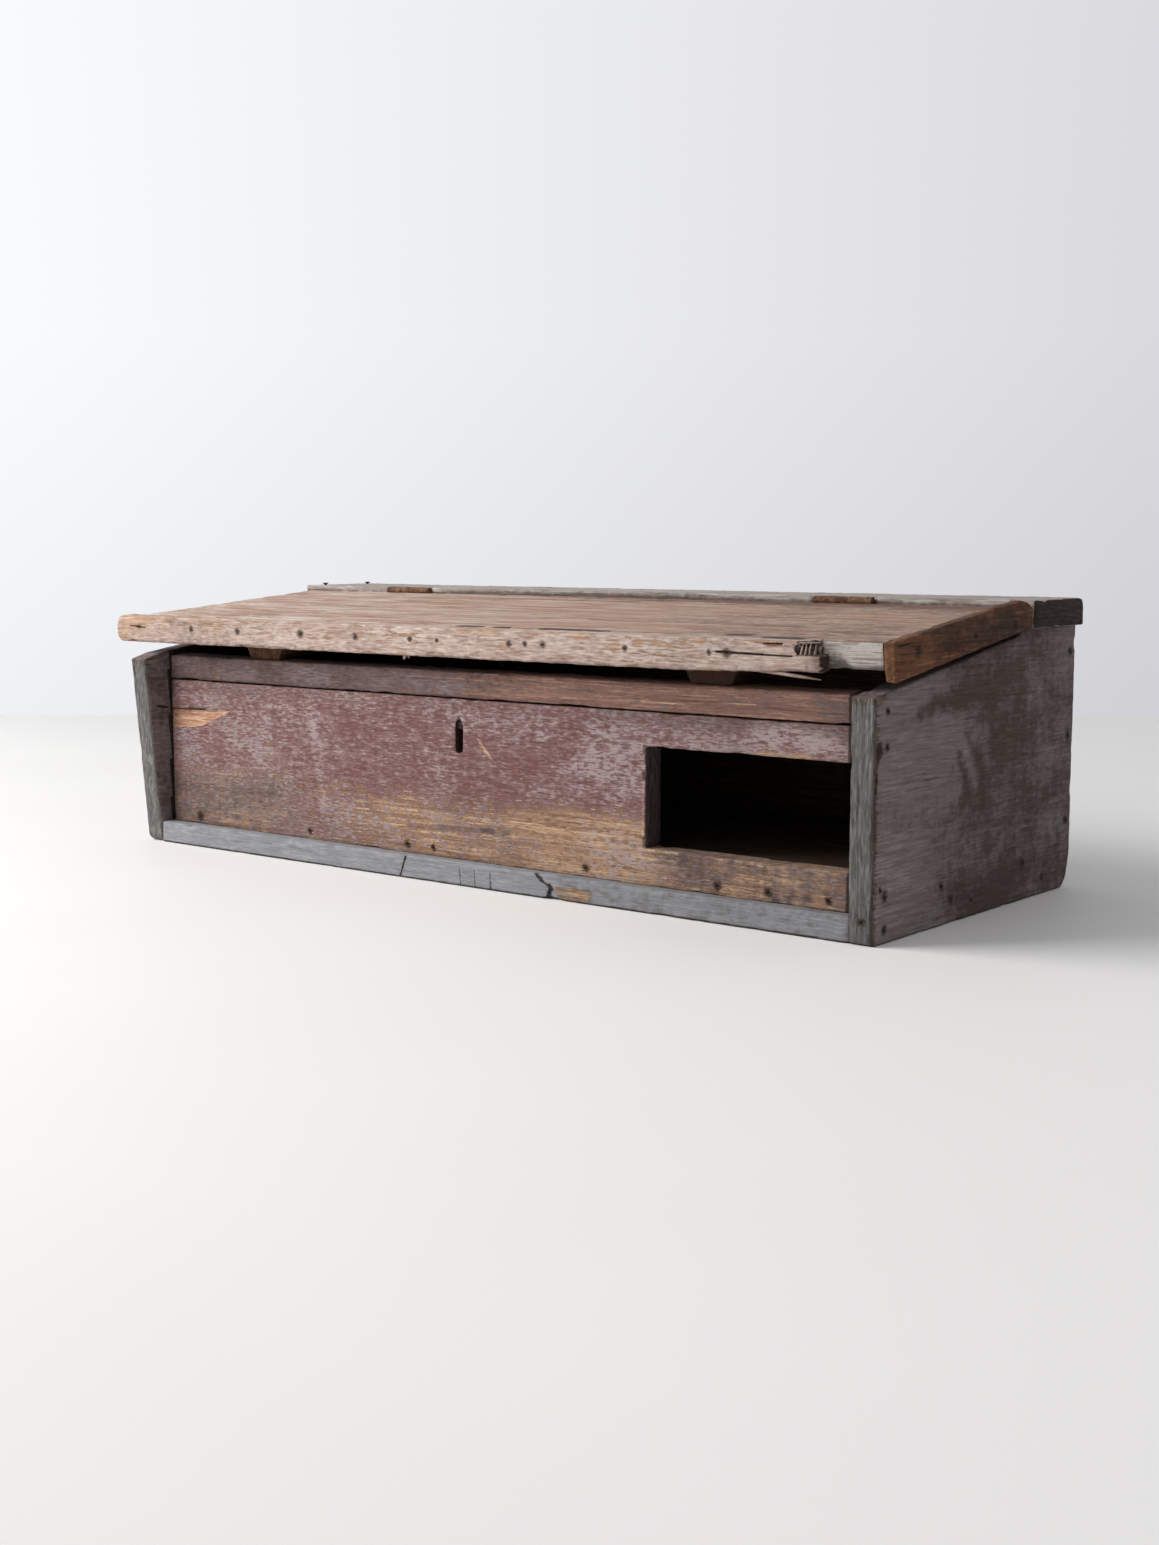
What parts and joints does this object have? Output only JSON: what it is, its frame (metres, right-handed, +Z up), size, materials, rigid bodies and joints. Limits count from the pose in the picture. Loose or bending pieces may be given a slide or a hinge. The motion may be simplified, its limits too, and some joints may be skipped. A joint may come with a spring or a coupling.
{
  "type": "antique storage chest",
  "caption": "Low antique chest of nailed, worn painted boards, with a sloping hinged lid, a keyhole lock and a sawn-out opening at the right of its front.",
  "frame": {"origin": "centre of the part's box, on the surface that it stands on", "axes": "+X along the front to the right, +Y to the back, +Z up"},
  "size_m": [0.888, 0.359, 0.2561],
  "materials": {
    "plum_paint": "worn plum paint over pine",
    "mauve_paint": "worn mauve-grey paint over pine",
    "grey_paint": "worn blue-grey paint over pine",
    "grey_wood": "weathered grey-brown wood",
    "tan_wood": "worn pale wood with traces of paint",
    "brown_wood": "old orange-brown wood",
    "bare_wood": "bare aged pine",
    "rusted_iron": "rusted wrought iron"
  },
  "bodies": {
    "box": {"left_end_board": "mauve_paint", "right_end_board": "mauve_paint", "front_panel": "plum_paint", "front_rail": "mauve_paint", "base_strip": "grey_paint", "floor_board_front": "bare_wood", "floor_board_rear": "bare_wood", "back_board": "bare_wood", "rear_top_board": "grey_wood", "hinge_leaf_box_left": "rusted_iron", "hinge_leaf_box_right": "rusted_iron", "hinge_pin_left": "rusted_iron", "hinge_pin_right": "rusted_iron", "hinge_screws_box": "rusted_iron", "lock_case": "rusted_iron", "lock_screws": "rusted_iron", "front_panel_nails": "rusted_iron", "left_end_nails": "rusted_iron", "right_end_nails": "rusted_iron", "back_nails": "rusted_iron", "rear_top_nails": "rusted_iron"},
    "lid": {"lid_board": "grey_wood", "lid_front_strip": "tan_wood", "lid_batten": "brown_wood", "lid_cleat_left": "brown_wood", "lid_cleat_right": "brown_wood", "hinge_leaf_lid_left": "rusted_iron", "hinge_leaf_lid_right": "rusted_iron", "hinge_screws_lid": "rusted_iron", "staple_plate": "rusted_iron", "staple_loop": "rusted_iron", "staple_screws": "rusted_iron", "strip_nails": "rusted_iron", "batten_nails": "rusted_iron", "cleat_nails": "rusted_iron"},
    "bolt": {"lock_bolt": "rusted_iron"}
  },
  "joints": [
    {"name": "lid_hinge", "type": "hinge", "parent": "box", "child": "lid", "pos_m": [0.008, 0.0725, 0.252], "axis": [-1, 0, 0], "range_deg": [0, 115]},
    {"name": "lock_slide", "type": "slide", "parent": "box", "child": "bolt", "axis": [1, 0, 0], "range_m": [0, 0.015]}
  ]
}
